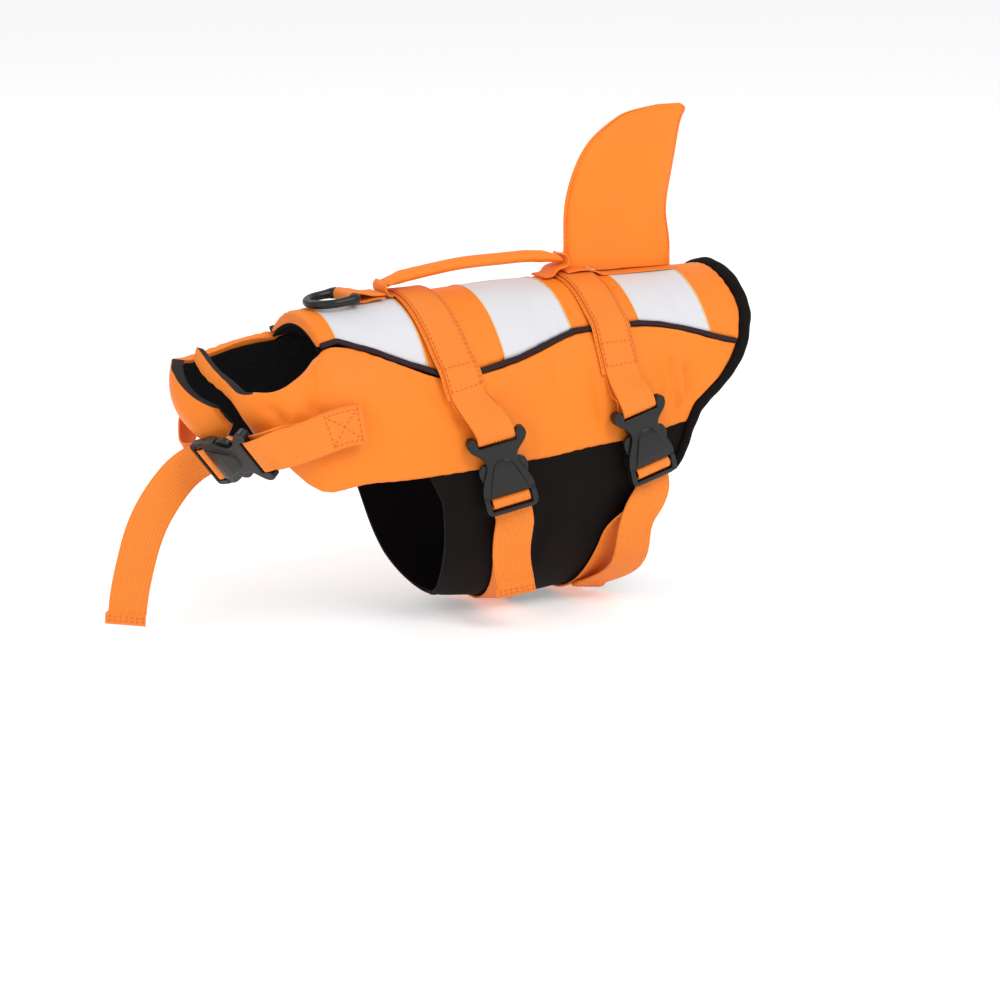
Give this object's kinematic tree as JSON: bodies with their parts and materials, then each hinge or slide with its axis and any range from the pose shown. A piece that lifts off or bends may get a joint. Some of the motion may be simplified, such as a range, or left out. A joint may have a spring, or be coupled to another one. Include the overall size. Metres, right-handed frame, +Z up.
{
  "type": "dog life jacket",
  "caption": "Padded orange and white dog life jacket in its worn, hollow shape, with belly straps, buckles, grab handle, leash ring and an upright fin.",
  "frame": {"origin": "middle of the torso hollow, just behind the front belly strap", "axes": "+Z up away from the belly, -X towards the wearer's head, -Y to the wearer's left, where the buckles are"},
  "size_m": [0.4571, 0.167, 0.3288],
  "materials": {
    "orange_shell": "fine woven polyester, satin",
    "white_shell": "smooth coated reflective cloth",
    "black_lining": "matte open mesh cloth",
    "neoprene": "matte jersey-faced neoprene",
    "webbing": "ribbed polypropylene webbing",
    "trim": "folded cloth tape",
    "black_plastic": "fine moulded texture"
  },
  "bodies": {
    "jacket": {"saddle_neck_band": "orange_shell", "saddle_white_1": "white_shell", "saddle_orange_2": "orange_shell", "saddle_white_2": "white_shell", "saddle_orange_3": "orange_shell", "saddle_white_3": "white_shell", "saddle_tail_band": "orange_shell", "lining_saddle": "black_lining", "side_left": "orange_shell", "lining_left": "black_lining", "side_right": "orange_shell", "lining_right": "black_lining", "piping_left": "trim", "piping_right": "trim", "hem_binding": "neoprene", "belly_panel": "neoprene", "strap_1_band": "webbing", "strap_1_back": "webbing", "strap_1_lower": "webbing", "strap_2_band": "webbing", "strap_2_back": "webbing", "strap_2_lower": "webbing", "neck_tab": "webbing", "neck_webbing": "webbing", "buckle_1_socket": "black_plastic", "buckle_1_lock": "black_plastic", "buckle_2_socket": "black_plastic", "buckle_2_lock": "black_plastic", "buckle_neck_socket": "black_plastic", "buckle_neck_lock": "black_plastic", "handle_grip": "orange_shell", "handle_front": "webbing", "handle_rear": "webbing", "fin": "orange_shell", "fin_base": "orange_shell", "leash_ring_loop": "webbing"},
    "leash_ring": {"leash_ring": "black_plastic"}
  },
  "joints": [
    {"name": "ring_swing", "type": "hinge", "parent": "jacket", "child": "leash_ring", "pos_m": [-0.057, 0, 0.1043], "axis": [0, 1, 0], "range_deg": [0, 115]}
  ]
}
